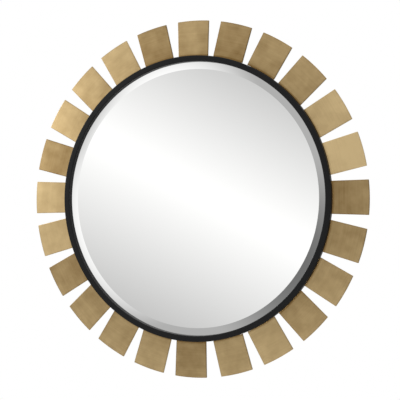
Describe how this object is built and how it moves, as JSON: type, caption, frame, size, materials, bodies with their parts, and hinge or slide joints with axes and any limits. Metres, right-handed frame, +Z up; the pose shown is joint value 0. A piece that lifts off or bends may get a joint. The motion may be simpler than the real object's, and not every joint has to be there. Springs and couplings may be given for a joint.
{
  "type": "sunburst wall mirror",
  "caption": "Round bevelled wall mirror in a black steel hoop with a sunburst of separate antique brass plates around it, hung on keyhole plates.",
  "frame": {"origin": "centre of the flat back, on the plane of the wall", "axes": "+Z up, +Y into the wall along the mirror's axis, the mirror faces -Y"},
  "size_m": [0.96, 0.0293, 0.96],
  "materials": {
    "hoop_paint": "satin black paint on steel",
    "plate_brass": "antiqued, lightly brushed brass on steel plate",
    "silvered_glass": "silvered clear glass with a polished bevel",
    "board_paint": "fibreboard painted dull black",
    "hanger_zinc": "zinc-plated steel"
  },
  "bodies": {
    "root": {"frame_ring": "hoop_paint", "plate_01": "plate_brass", "plate_02": "plate_brass", "plate_03": "plate_brass", "plate_04": "plate_brass", "plate_05": "plate_brass", "plate_06": "plate_brass", "plate_07": "plate_brass", "plate_08": "plate_brass", "plate_09": "plate_brass", "plate_10": "plate_brass", "plate_11": "plate_brass", "plate_12": "plate_brass", "plate_13": "plate_brass", "plate_14": "plate_brass", "plate_15": "plate_brass", "plate_16": "plate_brass", "plate_17": "plate_brass", "plate_18": "plate_brass", "plate_19": "plate_brass", "plate_20": "plate_brass", "plate_21": "plate_brass", "plate_22": "plate_brass", "plate_23": "plate_brass", "plate_24": "plate_brass", "mirror_glass": "silvered_glass", "backing_board": "board_paint", "hanger_left": "hanger_zinc", "hanger_right": "hanger_zinc"}
  },
  "joints": []
}
